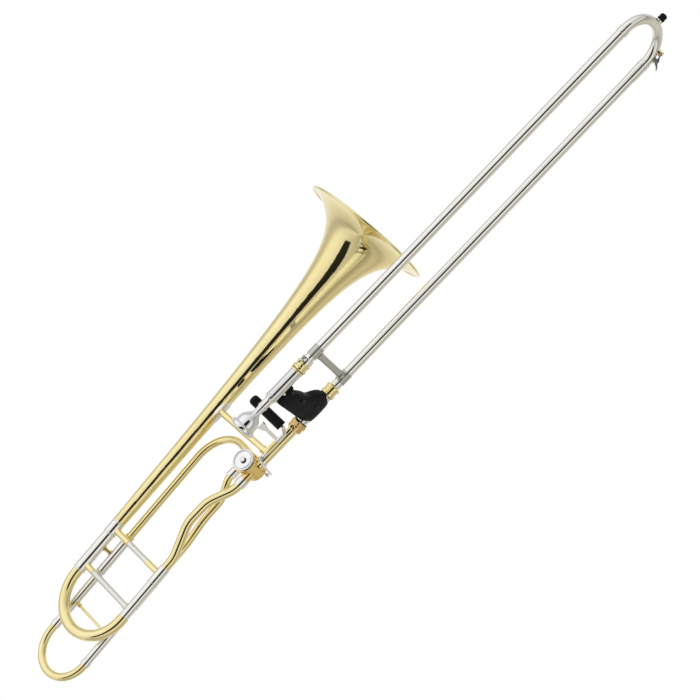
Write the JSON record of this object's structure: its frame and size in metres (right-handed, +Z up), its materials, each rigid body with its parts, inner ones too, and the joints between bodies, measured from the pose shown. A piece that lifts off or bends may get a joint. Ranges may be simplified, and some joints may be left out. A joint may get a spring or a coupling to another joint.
{
  "type": "trombone",
  "caption": "Tenor trombone with a rotary F attachment, telescoping hand slide, flared bell, tuning slides, thumb trigger and moulded left-hand grip.",
  "frame": {"origin": "centre of the left-hand grip, midway between the two slide tubes", "axes": "+X forward along the hand slide, +Y to the player's left, +Z up"},
  "size_m": [1.2681, 0.2787, 0.2472],
  "materials": {
    "lacquered_brass": "polished yellow brass under clear lacquer",
    "nickel_silver": "polished nickel silver",
    "silver_plate": "bright silver plate",
    "gold_brass": "reddish gold brass, lacquered",
    "black_moulding": "soft-touch black moulding",
    "black_rubber": "matte black rubber",
    "black_steel": "black oxide steel",
    "cork": "natural cork",
    "steel": "plain steel"
  },
  "bodies": {
    "root": {"mouthpiece_receiver": "nickel_silver", "cork_barrels": "nickel_silver", "slide_corks": "cork", "inner_slide_tubes": "nickel_silver", "slide_tenon": "nickel_silver", "inner_brace": "nickel_silver", "hand_grip": "black_moulding", "grip_screws": "black_steel", "slide_receiver": "lacquered_brass", "gooseneck": "lacquered_brass", "rotor_casing": "lacquered_brass", "bearing_plate": "nickel_silver", "valve_cap": "silver_plate", "cap_screw": "steel", "back_plate": "lacquered_brass", "stop_corks": "cork", "lever_hinge_barrel": "lacquered_brass", "lever_spring": "steel", "port_ferrules": "nickel_silver", "main_neck": "lacquered_brass", "f_neck": "lacquered_brass", "f_crook": "lacquered_brass", "bell": "lacquered_brass", "main_receivers": "nickel_silver", "bell_ferrule": "nickel_silver", "bell_section_brace": "nickel_silver", "bell_section_sockets": "lacquered_brass", "f_receivers": "nickel_silver", "tie_posts": "lacquered_brass", "bell_brace": "lacquered_brass", "bell_brace_saddle": "nickel_silver"},
    "mouthpiece": {"mouthpiece": "silver_plate"},
    "hand_slide": {"outer_slide_tubes": "nickel_silver", "bow_ferrules": "nickel_silver", "slide_end_rings": "lacquered_brass", "outer_brace": "nickel_silver", "slide_bow": "nickel_silver", "bumper_mount": "nickel_silver", "rubber_bumper": "black_rubber", "water_key_nipple": "lacquered_brass", "water_key_saddle": "nickel_silver", "water_key_spring": "steel"},
    "water_key": {"water_key_lever": "nickel_silver", "water_key_cork": "cork"},
    "slide_lock_ring": {"slide_lock_ring": "nickel_silver"},
    "receiver_nut": {"receiver_nut": "gold_brass"},
    "main_tuning_slide": {"main_slide_legs": "nickel_silver", "main_upper_ferrule": "nickel_silver", "main_bow": "lacquered_brass", "main_slide_brace": "nickel_silver", "main_brace_socket": "lacquered_brass"},
    "f_tuning_slide": {"f_slide_legs": "nickel_silver", "f_bow": "lacquered_brass", "f_slide_brace": "lacquered_brass"},
    "trigger_lever": {"lever_rod": "nickel_silver", "thumb_sleeve": "black_moulding"},
    "rotor": {"rotor_core": "gold_brass", "stop_arm": "nickel_silver", "stop_arm_screw": "steel"},
    "link_rod": {"link_rod": "nickel_silver"}
  },
  "joints": [
    {"name": "hand_slide_move", "type": "slide", "parent": "root", "child": "hand_slide", "axis": [1, 0, 0], "range_m": [0, 0.6]},
    {"name": "water_key_open", "type": "hinge", "parent": "hand_slide", "child": "water_key", "pos_m": [0.681, 0.02775, -0.03716], "axis": [0, 1, 0], "range_deg": [0, 20], "stiffness_Nm_per_rad": 0.05, "springref_deg": -28.65},
    {"name": "slide_lock_turn", "type": "hinge", "parent": "hand_slide", "child": "slide_lock_ring", "pos_m": [0.042, -0.03093, 0.02614], "axis": [1, 0, 0], "range_deg": [0, 40]},
    {"name": "receiver_nut_turn", "type": "hinge", "parent": "root", "child": "receiver_nut", "pos_m": [-0.034, 0.03093, -0.02614], "axis": [1, 0, 0], "range_deg": [0, 300]},
    {"name": "mouthpiece_pull", "type": "slide", "parent": "root", "child": "mouthpiece", "axis": [-1, 0, 0], "range_m": [0, 0.04]},
    {"name": "main_tuning_pull", "type": "slide", "parent": "root", "child": "main_tuning_slide", "axis": [-0.997, -0.0482, -0.061], "range_m": [0, 0.02]},
    {"name": "f_tuning_pull", "type": "slide", "parent": "root", "child": "f_tuning_slide", "axis": [-0.997, -0.0482, -0.061], "range_m": [0, 0.045]},
    {"name": "trigger_press", "type": "hinge", "parent": "root", "child": "trigger_lever", "pos_m": [0, 0.0189, -0.02186], "axis": [1, 0, 0], "range_deg": [0, 18], "stiffness_Nm_per_rad": 0.35, "springref_deg": -14.32},
    {"name": "link_tilt", "type": "hinge", "parent": "trigger_lever", "child": "link_rod", "pos_m": [-0.11434, 0.04856, -0.04414], "axis": [1, 0, 0], "range_deg": [-30.1, 0]},
    {"name": "rotor_turn", "type": "hinge", "parent": "root", "child": "rotor", "pos_m": [-0.12, 0.03868, -0.01633], "axis": [0, -0.7848, 0.6198], "range_deg": [0, 90.1]}
  ],
  "couplings": [
    {"joint": "rotor_turn", "follows": "trigger_press", "ratio": 5},
    {"joint": "link_tilt", "follows": "trigger_press", "ratio": -1.6667}
  ]
}
